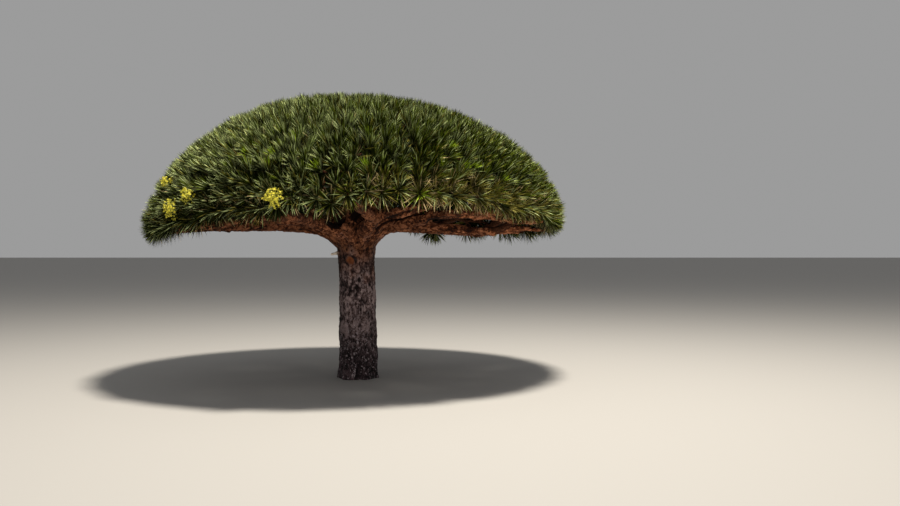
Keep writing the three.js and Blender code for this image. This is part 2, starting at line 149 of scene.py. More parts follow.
# Leaves of a rosette. A leaf's age runs from 0 in the rosette's middle to 1 at its foot.
LEAVES = 126
GOLDEN_TURN = pi * (3 - sqrt(5))
FULL_TURN = 6.28
TURN_WANDER = 0.3
LEAF_WIDTH = 0.0134
WIDTH_WANDER = 0.15
FOOT_WIDTH = 0.75
LEAF_FOLD = 0.22
LEAF_MIDDLE = 0.55
# The share of its length that the youngest has, how soon others have theirs and what the oldest lack
YOUNGEST_LENGTH = 0.72
GROWTH_PACE = 3.5
OLD_LOSS = 0.16
LENGTH_WANDER = 0.12
ROSETTE_LENGTH_WANDER = 0.1
MOSTLY_LESS = 0.6
# Its lean from its rosette's axis by age. Past the skirt's age it spreads wide and closes the crown, a dark
# layer that takes the deep tint of painted shade above the lowest rosettes.
YOUNGEST_LEAN = 4
OLDEST_LEAN = 43
OLDEST_RIM_LEAN = 92
RIM_HEIGHTS = (3, 9)
LEAN_POWER = 0.8
LEAN_WANDER = 5
LEAST_BEND = 1
BEND_BY_AGE = 8
LEAF_SAG = 0.1
SKIRT_AGE = 0.83
SKIRT_LEAN = 84
SKIRT_WIDTH = 2.7
SKIRT_HEIGHT = 4.5
# How far down the twig the oldest leaf sits, and how far out from the twig's middle
LEAFY_LENGTH = 0.07
LEAF_FOOT_OUT = 0.012
LEAF_FACES = np.array([(0, 1, 3), (0, 3, 2), (1, 4, 3), (2, 3, 5), (3, 4, 5)])
# Painted shade of each corner, dark at the foot and darker in the fold, to a painted highlight, lightest at
# the tip, and how much leaves differ in it
LEAF_PAINTED_SHADES = np.array([0.4, 0.4, 0.9, 0.62, 0.9, 1.25])
LEAF_CONTRAST = 1.85

# Tints of leaves: the deep tint is painted shade, and the light tint is partly the leaves' own lighter tone
# and partly a painted highlight
TINTS = ("deep", "mid", "light", "olive", "young", "dry")
DEEP_PAINTED_SHADE, MID, LIGHT_TONE_AND_HIGHLIGHT, OLIVE, YOUNG, DRY = range(6)
# Flanks of the crown that differ in tint: painted sunlight and painted shade on the sunny flank, painted
# shade on the front-right flank, and the leaves' own tan and straw colours on the others. Azimuth of the
# middle and how far each reaches to its sides
SUN_FLANK = (232, 36)
FRONT_SHADE_FLANK = (315, 40)
TANNED_FLANK = (312, 34)
STRAW_FLANK = (298, 20)
STRAW_PATCH = (243, 9)
# How high above the lower edge each reaches, in degrees of latitude
SHADED_HEIGHT = 13
LIT_HEIGHTS = (12, 24)
FRONT_SHADE_HEIGHT = 16
LOW_HEIGHTS = (4, 13)
# How a rosette's tint drifts from place to place, and on its own
DRIFTS_PER_M = 1.1
DRIFT = 0.8
OWN_DRIFT = 0.22
# Share of light leaves, partly painted highlights: usual, and by the rosette's drift, painted shade, painted
# sunlight and the front-right flank's painted shade. Then its limits.
LIGHT_SHARE = (0.315, 0.2, 0.1, 0.22, -0.185)
LIGHT_LIMITS = (0.07, 0.55)
# Share of leaves that don't take the deep tint of painted shade: most, and what darkness, age and shade take
# from it
NOT_IN_DEEP_SHADE = (0.95, 0.42, 0.24, 0.5)
# Share of olive leaves: usual and where tanned. Share of dry ones: usual, low down, tanned and straw.
OLIVE_SHARE = (0.08, 0.5)
DRY_SHARE = (0.02, 0.14, 0.25, 0.5)
DRY_AGE = 0.66
# Rosettes of fresh growth: azimuth and latitude. Some others have a few young leaves.
FRESH_SPOTS = [
    (277, 23), (293, 15), (305, 25), (307, 20), (279, 36), (301, 34), (314, 19), (244, 25), (252, 25),
    (258, 30), (265, 18),
]
FRESH_AGE = 0.16
SPROUT_AGE = 0.04
SPROUT_SHARE = 0.05

# Flower panicles: azimuth and latitude of each on the crown, its radius and how tall it is for its width
PANICLES = [(215.3, 17.2, 0.1, 1), (225.2, 6, 0.11, 1.4), (230.4, 10.6, 0.105, 1), (257, 8.4, 0.13, 1)]
PANICLE_DEPTH = 0.06
# Branches of a panicle of the widest size, how much they rise, and the shares of its radius they reach
PANICLE_BRANCHES = 76
WIDEST_PANICLE = 0.13
BRANCH_RISE = 0.5
BRANCH_REACH = (0.5, 0.7)
STALK_RADIUS = 0.0035
# Flowers on a branch, the share of it that they sit along, and how they scatter and tilt
FLOWERS = 10
FLOWER_SPAN = 0.16
FLOWER_SCATTER = 0.007
FLOWER_TILT = 0.5
# Corners of a petal: how far out from its flower's middle, across, and along the flower's axis
PETAL = [(0, 0, 0), (0.006, 0.0035, 0.003), (0.0125, 0, 0.005), (0.006, -0.0035, 0.003)]

# Bark: the finished mesh
VOXEL = 0.016
WOOD_TRIANGLES = 188000
SHRINKAGE = 0.004
# Its grain: its squeeze, where boughs leave the trunk, by distance and height, and where the grain turns
GRAIN_STRETCH = 0.64
BOUGH_JOINT = (0.32, 2.45)
GRAIN_TURN = ((0.28, 0.5), (2.1, 2.35))
# Its relief: how many forms lie along a metre, their sizes, and how deep they are
LUMPS_PER_M = 4.5
LUMP_DEPTH = 0.022
WARPS_PER_M = 9
WARP = 0.025
FLAKES_PER_M = 17
FLAKE_EDGE = 0.42
FLAKE_LEVEL = 0.6
FLAKE_DEPTH = 0.009
PITS_PER_M = 9.5
PIT_WARP = 0.6
PIT_SIZE = 0.34
SMALLEST_PIT = 0.08
PIT_STEEPNESS = 1.7
PIT_DEPTH = 0.024
FOOT_LUMPS_PER_M = 3.3
FOOT_LUMP_DEPTH = 0.035
FOOT_LUMP_HEIGHT = 0.2
# Where the trunk's lobes and ridges end, by distance and height
SWELL_ENDS = ((0.36, 0.5), (2.2, 2.6))
# How much each form darkens the bark: painted shade in its pits, at flake edges, in the scar, on its rim and
# in the hollows, partly the bark's own darker colour there, and painted light on its raised lumps, where it
# is negative
RELIEF_TONE_AND_PAINTED_SHADE = {"flake_edge": 0.22, "pit": 1.9, "lump": -0.35, "scar": 0.2, "scar_rim": 1.1, "hollow": 2.0}
# A healed wound on the trunk: its place in X and Z, its half-axes, the cosine and sine of its tilt, and the
# shares of the half-axes where its bare wood ends and where its rim rises
SCAR_PLACE = Vector((-0.108, 2.058))
SCAR_SIZE = (0.084, 0.064)
SCAR_TILT = (0.8, 0.6)
SCAR_EDGE = (0.7, 1.0)
SCAR_RIM = 1.3
SCAR_RIM_WIDTH = 0.3
SCAR_LUMPS_PER_M = 14
SCAR_UNEVENNESS = 0.3
SCAR_RIM_UNEVENNESS = (0.7, 0.9)
SCAR_SMOOTHNESS = 0.9
SCAR_DEPTH = 0.022
SCAR_RIM_HEIGHT = 0.016
FAR_OFF = 9
# How far from the stub's end its pale wood begins and ends to fade
BROKEN_EDGE = (0.105, 0.135)
# Hollows between the boughs, carved and darkened with painted shade: place in X and Z, and half of the width
# and height
HOLLOWS = [((-0.315, 2.7), (0.11, 0.12)), ((0, 2.85), (0.095, 0.14))]
HOLLOW_EDGE = (0.6, 1.25)
HOLLOW_DEPTH = 0.07
# Creases between boughs that have grown together, carved and darkened with painted shade: places along each,
# its half-width and share of that depth
CREASES = [
    ([(0.36, 2.56), (0.46, 2.65), (0.65, 2.725), (0.88, 2.805), (1.27, 2.86)], 0.034, 0.5),
    ([(1.27, 2.69), (1.52, 2.7), (1.94, 2.7)], 0.075, 0.85),
]
CREASE_EDGE = (0.2, 1)
# The front of the trunk, where the scar and the creases are, and of the fork, where the hollows are
FRONT = -0.05
FORK_FRONT = -0.1

# Bark's colours, from the tops of its flakes to its pits, darker in the pits partly as painted shade
GREY_BARK = [
    (0.0, (0.33, 0.25, 0.245)),
    (0.25, (0.142, 0.1, 0.098)),
    (0.5, (0.062, 0.039, 0.038)),
    (0.72, (0.024, 0.014, 0.014)),
    (1.0, (0.008, 0.004, 0.004)),
]
RUST_BARK = [
    (0.0, (0.35, 0.14, 0.066)),
    (0.25, (0.158, 0.053, 0.021)),
    (0.5, (0.072, 0.021, 0.007)),
    (0.75, (0.03, 0.008, 0.003)),
    (1.0, (0.012, 0.003, 0.001)),
]
RUST_HEIGHTS = (1.72, 2.4)
# Painted shade and painted light that darken or lighten it by height, as a share of 4 m, shade under the fork
# and light on the low boughs, and from left to right, as a share of 5 m, shade on the left and light on the
# right
NECK_PAINTED_SHADE_AND_LIGHT = [(0.41, 1), (0.49, 0.58), (0.57, 0.54), (0.62, 1.16), (0.67, 1)]
SIDE_PAINTED_SHADE_AND_LIGHT = [(0.3, (0.8, 0.78, 0.78)), (0.44, 0.95), (0.62, 0.93), (0.73, 0.98), (0.84, 1.28)]
PATCH_SHADES = [(0.35, (0.55, 0.52, 0.53)), (0.62, (1.22, 1.2, 1.18))]
FOOT_SHADE = (0.17, 0.145, 0.165)
TRUNK_SHADE = (1.05, 1.05, 1.05)
FOOT_HEIGHTS = (0.4, 1.4)
DUST = (0.46, 0.38, 0.4)
WOUND = [(0.35, (0.11, 0.031, 0.011)), (0.65, (0.28, 0.093, 0.033))]
BROKEN_WOOD = (0.8, 0.68, 0.55)
TWIG_BARK = [(0.3, (0.022, 0.006, 0.002)), (0.5, (0.075, 0.024, 0.009)), (0.7, (0.19, 0.075, 0.035))]

# Leaves' colours by tint, dark and light, with their roughness and gloss. The near-black deep tint is painted
# shade; the greyer light tint is partly a painted highlight.
LEAF_COLOURS = [
    ((0.005, 0.0075, 0.0005), (0.013, 0.019, 0.0015), 0.45, 0.04),
    ((0.059, 0.083, 0.0045), (0.109, 0.143, 0.011), 0.42, 0.08),
    ((0.226, 0.277, 0.1), (0.398, 0.455, 0.205), 0.4, 0.08),
    ((0.11, 0.095, 0.012), (0.19, 0.165, 0.035), 0.45, 0.08),
    ((0.18, 0.265, 0.012), (0.31, 0.42, 0.03), 0.45, 0.08),
    ((0.38, 0.27, 0.11), (0.7, 0.55, 0.29), 0.6, 0.08),
]
PETAL_COLOURS = [(0.36, (0.24, 0.25, 0.02)), (0.62, (0.95, 0.85, 0.1))]
STALK_COLOURS = [(0.35, (0.22, 0.26, 0.04)), (0.65, (0.40, 0.40, 0.07))]

# Studio
LIGHT_GOAL = Vector((0, 0, 2.5))
FLOOR_SIZE = 400
FLOOR_COLOUR = (0.36, 0.35, 0.335, 1)
SKY_COLOUR = (0.92, 0.92, 0.92, 1)
CAMERA_PLACE = (1.605, -15.35, 2.18)


def mix(a, b, share):
    return a + (b - a) * share


def smooth_step(low, high, value):
    share = np.clip((value - low) / (high - low), 0, 1)
    return share * share * (3 - 2 * share)


# Places in the crown


def crown_lean(sideways, latitude):
    latitudes, left, right = zip(*CROWN_LEAN)
    return abs(sideways) * float(np.interp(latitude, latitudes, left if sideways < 0 else right))


def crown_point(azimuth, latitude, reach):
    a = radians(azimuth)
    t = radians(latitude)
    out = CROWN_RADIUS * cos(t)
    x = out * cos(a) + crown_lean(cos(a), latitude)
    return CROWN_CENTRE + reach * Vector((x, out * sin(a), CROWN_RISE * sin(t)))


def crown_normal(azimuth, latitude):
    a = radians(azimuth)
    t = radians(latitude)
    out = cos(t) / CROWN_RADIUS
    return Vector((out * cos(a), out * sin(a), sin(t) / CROWN_RISE)).normalized()


def rosette_point(azimuth, latitude):
    """Where a rosette sits: almost a leaf's length inside the crown's outline."""
    depth = LEAF_LENGTH * ROSETTE_DEPTH
    return crown_point(azimuth, latitude, 1) - depth * crown_normal(azimuth, latitude)


def lower_edge(azimuth):
    azimuths, latitudes = zip(*RIM_LINE)
    return EDGE_LIFT + float(np.interp(azimuth, azimuths, latitudes, period=360))


def rim_latitude(azimuth, latitude, mass):
    """Moves a place in one of the rim's masses so that the mass ends at the crown's lower edge."""
    if mass.high > SHOULDER_LATITUDE:
        return latitude
    share = (mass.high - latitude) / (mass.high - mass.low)
    return mass.high - share * (mass.high - lower_edge(azimuth))


class Cell(namedtuple("Cell", "start stop low high")):
    """A span of azimuth and latitude: the space of one mass of foliage, or of one patch of it."""

    def middle(self):
        return (self.start + self.stop) / 2, (self.low + self.high) / 2

    def size(self):
        t = radians(self.middle()[1])
        width = CROWN_RADIUS * cos(t) * radians(self.stop - self.start)
        slope = hypot(CROWN_RADIUS * sin(t), CROWN_RISE * cos(t))
        return width, slope * radians(self.high - self.low)

    def patches(self):
        """Patches meant for a whole number of rows and columns of rosettes, or none for a single one."""
        width, height = self.size()
        columns = max(1, round(width / ROSETTE_SPACING))
        rows = max(1, round(height / ROSETTE_SPACING))
        if columns * rows == 1:
            return []
        if columns * rows <= MOST_AT_A_KNOT:
            across, up = columns, rows
        else:
            across, up = (2, 1) if width > height else (1, 2)
        spans = [mix(self.start, self.stop, round(i * columns / across) / columns) for i in range(across + 1)]
        steps = [mix(self.low, self.high, round(j * rows / up) / rows) for j in range(up + 1)]
        return [Cell(a, b, c, d) for a, b in zip(spans, spans[1:]) for c, d in zip(steps, steps[1:])]


def fork_below(cell, knot):
    """Where twigs part on the way to a cell's rosettes."""
    goal = rosette_point(*cell.middle())
    depth = FORK_DEPTH * hypot(*cell.size())
    return goal.lerp(knot, min(DEEPEST_FORK, depth / (goal - knot).length))


def grow_twigs(knot, way, cell, mass, region, draw):
    """Grows the twigs of a cell's patches from a knot. Gives how many rosettes they carry."""
    tips = 0
    for patch in cell.patches():
        azimuth, latitude = patch.middle()
        azimuth += WANDER * (draw() - 0.5) * (patch.stop - patch.start)
        latitude += WANDER * (draw() - 0.5) * (patch.high - patch.low)
        latitude = rim_latitude(azimuth, latitude, mass)
        forked = bool(patch.patches())
        goal = fork_below(patch, knot) if forked else rosette_point(azimuth, latitude)
        knee = knot + way * (goal - knot).length * TWIG_KNEE
        heading = (goal - knee).normalized()
        if forked:
            carried = grow_twigs(goal, heading, patch, mass, region, draw)
        else:
            carried = 1
            normal = crown_normal(azimuth, latitude)
            goal = goal + normal * ROSETTE_UNEVENNESS * (draw() - ROSETTE_SINK)
            axis = normal.lerp(heading, AXIS_BEND).normalized()
            above = latitude - lower_edge(azimuth)
            region.rosettes.append(Rosette(goal, axis, above, azimuth))
        region.twigs.append(Twig(knot, knee, goal, carried))
        tips += carried
    return tips


def grow_mass(limb_end, limb_way, cell, region, name, seed):
    """One mass of foliage, on a stem that carries on from its limb's end."""
    draw = random.Random(seed).random
    fork = fork_below(cell, limb_end)
    knee = limb_end + limb_way * (fork - limb_end).length * TWIG_KNEE
    tips = grow_twigs(fork, (fork - knee).normalized(), cell, cell, region, draw)
    region.twigs.append(Twig(limb_end - limb_way * STEM_ROOT, knee, fork, tips))
    region.nodes.append(name)


# Meshes


def put(name, data):
    """A new object in the scene."""
    item = bpy.data.objects.new(name, data)
    bpy.context.scene.collection.objects.link(item)
    return item


def mesh_of(name, corners, faces):
    """A mesh from an array of corners and arrays of faces, each of one number of sides."""
    loops = np.concatenate([f.ravel() for f in faces]).astype(np.int32)
    sides = np.concatenate([np.full(len(f), f.shape[1]) for f in faces])
    mesh = bpy.data.meshes.new(name)
    mesh.vertices.add(len(corners))
    mesh.vertices.foreach_set("co", np.asarray(corners, np.float32).ravel())
    mesh.loops.add(len(loops))
    mesh.loops.foreach_set("vertex_index", loops)
    mesh.polygons.add(len(sides))
    mesh.polygons.foreach_set("loop_start", (np.cumsum(sides) - sides).astype(np.int32))
    mesh.update(calc_edges=True)
    mesh.validate()
    return mesh


def keep_values(mesh, name, values):
    """Keeps a number or a vector for each corner of a mesh, for its paint."""
    kind, field = ("FLOAT", "value") if values.ndim == 1 else ("FLOAT_VECTOR", "vector")
    layer = mesh.attributes.new(name, kind, "POINT")
    layer.data.foreach_set(field, values.astype(np.float32).ravel())


def add_piece(mesh, material, nodes=()):
    """Puts a finished mesh in the scene as a piece of the tree."""
    piece = put(mesh.name, mesh)
    mesh.materials.clear()
    mesh.materials.append(material)
    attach(piece, "root")
    if nodes:
        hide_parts(*nodes)


def evaluated_mesh(item):
    """The mesh that an object's modifiers give. The object itself is removed."""
    graph = bpy.context.evaluated_depsgraph_get()
    mesh = bpy.data.meshes.new_from_object(item.evaluated_get(graph))
    bpy.data.objects.remove(item)
    return mesh


# Wood


def bough_point(azimuth, distance, height):
    a = radians(azimuth)
    return Vector((CROWN_CENTRE.x + distance * cos(a), distance * sin(a), height))


def add_spline(curve, points, radii):
    """A limb of round section through some points, with its radii spaced evenly along it."""
    spline = curve.splines.new("BEZIER")
    spline.bezier_points.add(len(points) - 1)
    spline.resolution_u = 10
    steps = [(b - a).length for a, b in zip(points, points[1:])]
    for i, (knot, point) in enumerate(zip(spline.bezier_points, points)):
        along = sum(steps[:i]) / sum(steps) * (len(radii) - 1)
        k = min(int(along), len(radii) - 2)
        knot.co = point
        knot.radius = mix(radii[k], radii[k + 1], along - k)
        knot.handle_left_type = "AUTO"
        knot.handle_right_type = "AUTO"


def add_fork_limb(curve, bough_end, bough_way, end, bow_way, form):
    """A limb from a bough's end to a place in the crown. Gives its end and its way there."""
    root = bough_end - bough_way * LIMB_ROOT
    bend = root.lerp(end, 0.5) + bow_way * form["bow"]
    add_spline(curve, [root, bend, end], form["radii"])
    return end, (end - bend).normalized()


def add_runner(curve, root, way, azimuth):
    latitude = max(RUNNER["lowest"], lower_edge(azimuth) - RUNNER["below_edge"])
    end = crown_point(azimuth, latitude, RUNNER["reach"])
    halfway = mix(RIM_LIMB["reach"], RUNNER["reach"], 0.5)
    middle = crown_point(azimuth, latitude + RUNNER["bow"], halfway)
    add_spline(curve, [root - way * LIMB_ROOT, middle, end], RUNNER["radii"])


def grow_low_bough(curve, index, rim, shoulder):
    """A low bough with its limbs and the masses that they carry."""
    azimuth, latitude, lowest = LOW_BOUGHS[index]
    number = index + 1
    before = LOW_BOUGHS[index - 1][0]
    after = LOW_BOUGHS[number % len(LOW_BOUGHS)][0]
    start = azimuth - ((azimuth - before) % 360) / 2
    stop = azimuth + ((after - azimuth) % 360) / 2
    arch = ARCHES.get(azimuth, 0)
    points = [
        bough_point(azimuth, distance, height + arch * share)
        for (distance, height), share in zip(LOW_BOUGH_RISE, ARCH_SHARES)
    ]
    fork_height = crown_point(azimuth, latitude, LOW_BOUGH_FORK / CROWN_RADIUS).z + FORK_LIFT
    points.append(bough_point(azimuth, LOW_BOUGH_FORK, fork_height))
    add_spline(curve, points, LOW_BOUGH_RADII)
    bough_end = points[-1]
    bough_way = (points[-1] - points[-2]).normalized()
    for side, a, b, low in (("left", start, azimuth, 0), ("right", azimuth, stop, 1)):
        heading = (a + b) / 2
        end = crown_point(heading, latitude, RIM_LIMB["reach"])
        tip = add_fork_limb(curve, bough_end, bough_way, end, crown_normal(heading, 0), RIM_LIMB)
        add_runner(curve, *tip, heading)
        cell = Cell(a, b, lowest[low], SHOULDER_LATITUDE)
        grow_mass(*tip, cell, rim, f"rim_mass_{number}_{side}", SEED + 2 * index + low)
    middle = (SHOULDER_LATITUDE + TOP_LATITUDE) / 2
    end = crown_point(azimuth, middle, SHOULDER_LIMB["reach"])
    tip = add_fork_limb(curve, bough_end, bough_way, end, UP, SHOULDER_LIMB)
    cell = Cell(start, stop, SHOULDER_LATITUDE, TOP_LATITUDE)
    grow_mass(*tip, cell, shoulder, f"shoulder_mass_{number}", SHOULDER_SEED + index)


def grow_high_bough(curve, index, top):
    """A high bough and the mass that it carries."""
    azimuth = HIGH_BOUGH_AZIMUTHS[index]
    points = [bough_point(azimuth, *place) for place in HIGH_BOUGH_RISE]
    points.append(crown_point(azimuth, HIGH_BOUGH_LATITUDE, HIGH_BOUGH_REACH))
    add_spline(curve, points, HIGH_BOUGH_RADII)
    half = 180 / len(HIGH_BOUGH_AZIMUTHS)
    cell = Cell(azimuth - half, azimuth + half, TOP_LATITUDE, 90)
    way = (points[-1] - points[-2]).normalized()
    grow_mass(points[-1], way, cell, top, f"top_mass_{index + 1}", TOP_SEED + index)


def trunk_spline(curve):
    spline = curve.splines.new("POLY")
    spline.points.add(len(TRUNK_SHAPE) - 1)
    for knot, (z, radius) in zip(spline.points, TRUNK_SHAPE):
        knot.co = (TRUNK_LEAN * z / TRUNK_TOP, 0, z, 1)
        knot.radius = radius


# Bark relief


def noise_at(places, per_m):
    return np.array([noise.noise(Vector(p) * per_m) for p in places])


def grain_of(places):
    """Places squeezed along the grain of the wood: upwards in the trunk, outwards in the boughs."""
    squeeze = 1 - GRAIN_STRETCH
    trunk = places.copy()
    trunk[:, 2] -= places[:, 2] * squeeze
    out = places - np.array([CROWN_CENTRE.x, 0, 0])
    distance = np.hypot(out[:, 0], out[:, 1])
    azimuth = np.degrees(np.arctan2(out[:, 1], out[:, 0])) % 360
    azimuths = np.array([b[0] for b in LOW_BOUGHS])
    away = np.abs((azimuth[:, None] - azimuths + 180) % 360 - 180)
    nearest = np.radians(azimuths[away.argmin(1)])
    way = np.stack([np.cos(nearest), np.sin(nearest), 0 * nearest], 1)
    joint = way * BOUGH_JOINT[0] + np.array([CROWN_CENTRE.x, 0, BOUGH_JOINT[1]])
    joint_grain = joint - np.array([0, 0, 1]) * joint[:, 2:] * squeeze
    away = places - joint
    bough = joint_grain + away - way * (away * way).sum(1)[:, None] * squeeze
    share = smooth_step(*GRAIN_TURN[0], distance) * smooth_step(*GRAIN_TURN[1], places[:, 2])
    return mix(trunk, bough, share[:, None])


def bark_height(grain):
    """Height of the bark at a place in the grain, and how dark it is there, with painted shade in pits and at
    flake edges and painted light on lumps.
    """
    g = Vector(grain)
    lumps = noise.fractal(g * LUMPS_PER_M, 0.8, 2.1, 4)
    warp = noise.noise_vector(g * WARPS_PER_M) * WARP
    near = noise.voronoi((g + warp) * FLAKES_PER_M)[0]
    flake = min(1, (near[1] - near[0]) / FLAKE_EDGE)
    distances, centres = noise.voronoi((g + warp * PIT_WARP) * PITS_PER_M)
    own = max(0, 0.55 + noise.noise(centres[0] * 3.7))
    size = PIT_SIZE * own * (0.8 + noise.noise(g * 2.1))
    pit = max(0, 1 - distances[0] / size) if size > SMALLEST_PIT else 0
    height = LUMP_DEPTH * lumps + FLAKE_DEPTH * (flake - FLAKE_LEVEL)
    height -= PIT_DEPTH * min(1, PIT_STEEPNESS * pit)
    dark = RELIEF_TONE_AND_PAINTED_SHADE["flake_edge"] * (1 - flake) + RELIEF_TONE_AND_PAINTED_SHADE["pit"] * pit + RELIEF_TONE_AND_PAINTED_SHADE["lump"] * lumps
    return height, dark


def trunk_swell(places):
    """Root lobes and ridges, as in the source, as a share of the trunk's radius."""
    angle = np.arctan2(places[:, 1], places[:, 0])
    lobe = ROOT_LOBE_DEPTH * np.exp(-places[:, 2] / ROOT_LOBE_HEIGHT) * np.cos(ROOT_LOBES * angle)
    ridge = TRUNK_RIDGE_DEPTH * np.cos(TRUNK_RIDGES * angle + places[:, 2] / TRUNK_RIDGE_TWIST)
    return lobe + ridge


def scar_of(places):
    """A healed wound on the trunk: how far inside its oval a place lies, and the height of its rim."""
    x = places[:, 0] - SCAR_PLACE.x
    z = places[:, 2] - SCAR_PLACE.y
    cosine, sine = SCAR_TILT
    far = np.hypot((x * cosine - z * sine) / SCAR_SIZE[0], (x * sine + z * cosine) / SCAR_SIZE[1])
    uneven = noise_at(places, SCAR_LUMPS_PER_M)
    far = np.where(places[:, 1] < FRONT, far * (1 + SCAR_UNEVENNESS * uneven), FAR_OFF)
    usual, by_lump = SCAR_RIM_UNEVENNESS
    rim = np.exp(-(((far - SCAR_RIM) / SCAR_RIM_WIDTH) ** 2)) * (usual + by_lump * uneven)
    return 1 - smooth_step(*SCAR_EDGE, far), rim


def in_hollow(places, middle, size):
    """How far inside one hollow of the fork places lie, from 0 to 1."""
    far = np.hypot((places[:, 0] - middle[0]) / size[0], (places[:, 2] - middle[1]) / size[1])
    return np.where(places[:, 1] < FORK_FRONT, 1 - smooth_step(*HOLLOW_EDGE, far), 0)


def in_crease(places, start, end, width, deep):
    """How far inside one straight run of a crease places lie, from 0 to its share of the depth."""
    run = np.subtract(end, start)
    away = places[:, [0, 2]] - start
    share = np.clip(away @ run / (run @ run), 0, 1)
    far = np.linalg.norm(away - share[:, None] * run, axis=1) / width
    return np.where(places[:, 1] < FRONT, deep * (1 - smooth_step(*CREASE_EDGE, far)), 0)


def in_hollows(places):
    """How far inside the hollows and creases places lie, from 0 to 1."""
    depths = [in_hollow(places, *hollow) for hollow in HOLLOWS]
    for line, width, deep in CREASES:
        depths += [in_crease(places, start, end, width, deep) for start, end in zip(line, line[1:])]
    return np.max(depths, axis=0)


def vectors_of(items, field):
    values = np.empty(len(items) * 3, np.float32)
    items.foreach_get(field, values)
    return values.reshape(-1, 3).astype(float)


def carve_bark(mesh):
    """Moves the wood's surface to the relief of its bark and keeps the grain, and as hollow the painted shade
    of the relief and hollows, for its paint.
    """
    places = vectors_of(mesh.vertices, "co")
    normals = vectors_of(mesh.vertex_normals, "vector")
    grain = grain_of(places)
    relief = np.array([bark_height(g) for g in grain])
    level = places[:, 2]
    distance = np.hypot(places[:, 0], places[:, 1])
    in_trunk = (1 - smooth_step(*SWELL_ENDS[0], distance)) * (1 - smooth_step(*SWELL_ENDS[1], level))
    scar, rim = scar_of(places)
    from_stub = np.linalg.norm(places - np.array(STUB[1]), axis=1)
    height = relief[:, 0] * (1 - SCAR_SMOOTHNESS * scar) + SHRINKAGE
    height += in_trunk * trunk_swell(places) * distance
    height += FOOT_LUMP_DEPTH * np.exp(-level / FOOT_LUMP_HEIGHT) * noise_at(places, FOOT_LUMPS_PER_M)
    height += SCAR_RIM_HEIGHT * rim - SCAR_DEPTH * scar
    hole = in_hollows(places)
    height -= HOLLOW_DEPTH * hole
    # Painted shade of the relief, scar and hollows, with painted light on the lumps, kept as the hollow
    # attribute
    dark = relief[:, 1] * (1 - scar) + RELIEF_TONE_AND_PAINTED_SHADE["scar"] * scar
    dark += RELIEF_TONE_AND_PAINTED_SHADE["scar_rim"] * rim + RELIEF_TONE_AND_PAINTED_SHADE["hollow"] * hole
    places += normals * height[:, None]
    mesh.vertices.foreach_set("co", places.astype(np.float32).ravel())
    keep_values(mesh, "grain", grain)
    keep_values(mesh, "hollow", dark)
    keep_values(mesh, "scar", scar)
    keep_values(mesh, "broken", 1 - smooth_step(*BROKEN_EDGE, from_stub))
    mesh.update()


def cut_at_ground(mesh):
    """Cuts the trunk flat at ground level and closes the cut."""
    work = bmesh.new()
    work.from_mesh(mesh)
    everything = work.verts[:] + work.edges[:] + work.faces[:]
    cut = bmesh.ops.bisect_plane(work, geom=everything, plane_co=(0, 0, 0), plane_no=UP, clear_inner=True)
    rim = [item for item in cut["geom_cut"] if isinstance(item, bmesh.types.BMEdge)]
    bmesh.ops.holes_fill(work, edges=rim, sides=0)
    bmesh.ops.triangulate(work, faces=work.faces)
    work.to_mesh(mesh)
    work.free()


def modified(mesh, kind, **settings):
    """A mesh with one modifier applied to it."""
    item = put(mesh.name, mesh)
    modifier = item.modifiers.new("work", kind)
    for key, value in settings.items():
        setattr(modifier, key, value)
    return evaluated_mesh(item)


def wood_mesh(curve):
    """The limbs of a curve grown together, with the relief of their bark."""
    mesh = evaluated_mesh(put("limbs", curve))
    mesh = modified(mesh, "REMESH", mode="VOXEL", voxel_size=VOXEL, use_smooth_shade=True)
    mesh = modified(mesh, "SMOOTH", factor=0.5, iterations=10)
    carve_bark(mesh)
    cut_at_ground(mesh)
    mesh = modified(mesh, "DECIMATE", ratio=min(1, WOOD_TRIANGLES / len(mesh.polygons)))
    for corner in mesh.vertices:
        corner.co.z = max(0, corner.co.z)
    mesh.shade_smooth()
    mesh.name = "trunk_and_boughs"
    return mesh


# Twigs


def unit(vectors):
    return vectors / np.linalg.norm(vectors, axis=-1, keepdims=True)


def side_of(ways, lean):
    """A direction square to each way: level, or square to X where the lean is steep."""
    helper = np.where(np.abs(lean[..., 2:]) > STEEP, [1.0, 0, 0], [0, 0, 1.0])
    return unit(np.cross(ways, helper))


def twig_rings(twigs, sides, steps):
    """Rings of corners along twigs that bend at their knees and taper."""
    knot, knee, goal = (np.array([t[k] for t in twigs]) for k in range(3))
    thick = TWIG_RADIUS * np.array([t.carried for t in twigs], float) ** TWIG_GROWTH
    share = np.linspace(0, 1, steps + 1)[None, :, None]
    rest = 1 - share
    path = knot[:, None] * rest**2 + knee[:, None] * 2 * share * rest + goal[:, None] * share**2
    ahead = unit(np.gradient(path, axis=1))
    side = side_of(ahead, unit(goal - knot)[:, None])
    over = np.cross(side, ahead)
    turn = np.linspace(0, 2 * np.pi, sides, endpoint=False)[:, None]
    ring = np.cos(turn) * side[:, :, None] + np.sin(turn) * over[:, :, None]
    taper = TWIG_TAPER[0] - TWIG_TAPER[1] * share
    swelling = 1 + TWIG_SWELLING * (2 * share - 1) ** 4
    radius = (thick[:, None, None] * taper * swelling)[:, :, None]
    return path[:, :, None] + ring * radius


